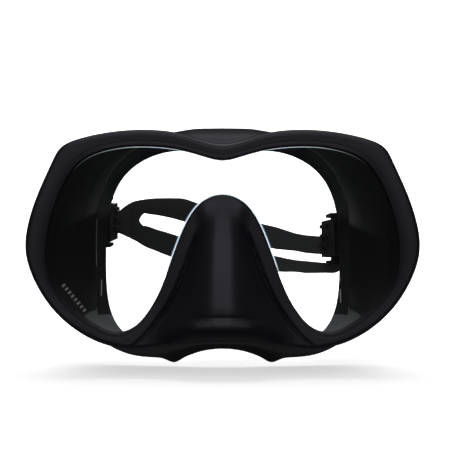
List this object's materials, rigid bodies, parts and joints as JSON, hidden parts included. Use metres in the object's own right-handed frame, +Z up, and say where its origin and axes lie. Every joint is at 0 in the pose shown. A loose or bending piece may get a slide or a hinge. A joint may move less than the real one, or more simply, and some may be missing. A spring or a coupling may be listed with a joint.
{
  "type": "diving mask",
  "caption": "Single-lens diving mask with a moulded silicone skirt and nose pocket, swivelling roller buckles and a split silicone head strap.",
  "frame": {"origin": "middle of the face seal, on the mid plane, between the side edges of the seal", "axes": "+X to the viewer's right looking at the lens (the wearer's left), +Y back towards the wearer, +Z up; the lens faces -Y"},
  "size_m": [0.18, 0.1437, 0.1137],
  "materials": {
    "silicone": "matte black silicone",
    "strap_silicone": "matte black silicone",
    "lens_glass": "clear tempered glass",
    "frame_plastic": "black",
    "buckle_plastic": "fine texture",
    "cover_plastic": "satin blue-black",
    "button_plastic": "fine texture",
    "roller_plastic": "acetal",
    "pin_steel": "stainless"
  },
  "bodies": {
    "mask": {"skirt": "silicone", "lens": "lens_glass", "lens_frame": "frame_plastic", "mount_post_left": "buckle_plastic", "mount_post_right": "buckle_plastic"},
    "harness": {"swivel_arm_left": "buckle_plastic", "swivel_arm_right": "buckle_plastic", "hinge_pin_left": "pin_steel", "hinge_pin_right": "pin_steel", "strap_back": "strap_silicone", "strap_end_left": "strap_silicone", "strap_end_right": "strap_silicone"},
    "buckle_left": {"buckle_frame_left": "buckle_plastic", "buckle_cover_left": "cover_plastic", "roller_pin_left": "pin_steel", "pawl_pin_left": "pin_steel", "button_spring_upper_left": "pin_steel", "button_spring_lower_left": "pin_steel"},
    "button_upper_left": {"button_upper_left": "button_plastic"},
    "button_lower_left": {"button_lower_left": "button_plastic"},
    "roller_left": {"roller_left": "roller_plastic"},
    "pawl_left": {"pawl_left": "roller_plastic"},
    "buckle_right": {"buckle_frame_right": "buckle_plastic", "buckle_cover_right": "cover_plastic", "roller_pin_right": "pin_steel", "pawl_pin_right": "pin_steel", "button_spring_upper_right": "pin_steel", "button_spring_lower_right": "pin_steel"},
    "button_upper_right": {"button_upper_right": "button_plastic"},
    "button_lower_right": {"button_lower_right": "button_plastic"},
    "roller_right": {"roller_right": "roller_plastic"},
    "pawl_right": {"pawl_right": "roller_plastic"}
  },
  "joints": [
    {"name": "harness_tilt", "type": "hinge", "parent": "mask", "child": "harness", "pos_m": [0, -0.032, 0.004], "axis": [1, 0, 0], "range_deg": [-18, 18]},
    {"name": "buckle_left_fold", "type": "hinge", "parent": "harness", "child": "buckle_left", "pos_m": [-0.0795, 0.00641, 0.00669], "axis": [0, 0.0698, -0.9976], "range_deg": [-18.5, 12.5], "deforming": ["strap_end_left"]},
    {"name": "button_upper_left_press", "type": "slide", "parent": "buckle_left", "child": "button_upper_left", "axis": [0, 0.0698, -0.9976], "range_m": [0, 0.0018], "stiffness_N_per_m": 30, "springref_m": -0.0004, "deforming": ["button_spring_upper_left"]},
    {"name": "button_lower_left_press", "type": "slide", "parent": "buckle_left", "child": "button_lower_left", "axis": [0, -0.0698, 0.9976], "range_m": [0, 0.0018], "stiffness_N_per_m": 30, "springref_m": -0.0004, "deforming": ["button_spring_lower_left"]},
    {"name": "pawl_left_turn", "type": "hinge", "parent": "buckle_left", "child": "pawl_left", "pos_m": [-0.06374, 0.02915, 0.00828], "axis": [0, -0.0698, 0.9976], "range_deg": [0, 9]},
    {"name": "roller_left_spin", "type": "hinge", "parent": "buckle_left", "child": "roller_left", "pos_m": [-0.06434, 0.02299, 0.00784], "axis": [0, -0.0698, 0.9976], "continuous": true},
    {"name": "buckle_right_fold", "type": "hinge", "parent": "harness", "child": "buckle_right", "pos_m": [0.0795, 0.00641, 0.00131], "axis": [0, 0.0698, 0.9976], "range_deg": [-25, 6], "deforming": ["strap_end_right"]},
    {"name": "button_upper_right_press", "type": "slide", "parent": "buckle_right", "child": "button_upper_right", "axis": [0, -0.0698, -0.9976], "range_m": [0, 0.0018], "stiffness_N_per_m": 30, "springref_m": -0.0004, "deforming": ["button_spring_upper_right"]},
    {"name": "button_lower_right_press", "type": "slide", "parent": "buckle_right", "child": "button_lower_right", "axis": [0, 0.0698, 0.9976], "range_m": [0, 0.0018], "stiffness_N_per_m": 30, "springref_m": -0.0004, "deforming": ["button_spring_lower_right"]},
    {"name": "pawl_right_turn", "type": "hinge", "parent": "buckle_right", "child": "pawl_right", "pos_m": [0.06126, 0.02722, -0.00014], "axis": [0, -0.0698, -0.9976], "range_deg": [0, 9]},
    {"name": "roller_right_spin", "type": "hinge", "parent": "buckle_right", "child": "roller_right", "pos_m": [0.06255, 0.02117, 0.00028], "axis": [0, 0.0698, 0.9976], "continuous": true}
  ],
  "couplings": [
    {"joint": "button_lower_left_press", "follows": "button_upper_left_press", "ratio": 1},
    {"joint": "pawl_left_turn", "follows": "button_upper_left_press", "rad_per_m": 82},
    {"joint": "button_lower_right_press", "follows": "button_upper_right_press", "ratio": 1},
    {"joint": "pawl_right_turn", "follows": "button_upper_right_press", "rad_per_m": 82}
  ]
}
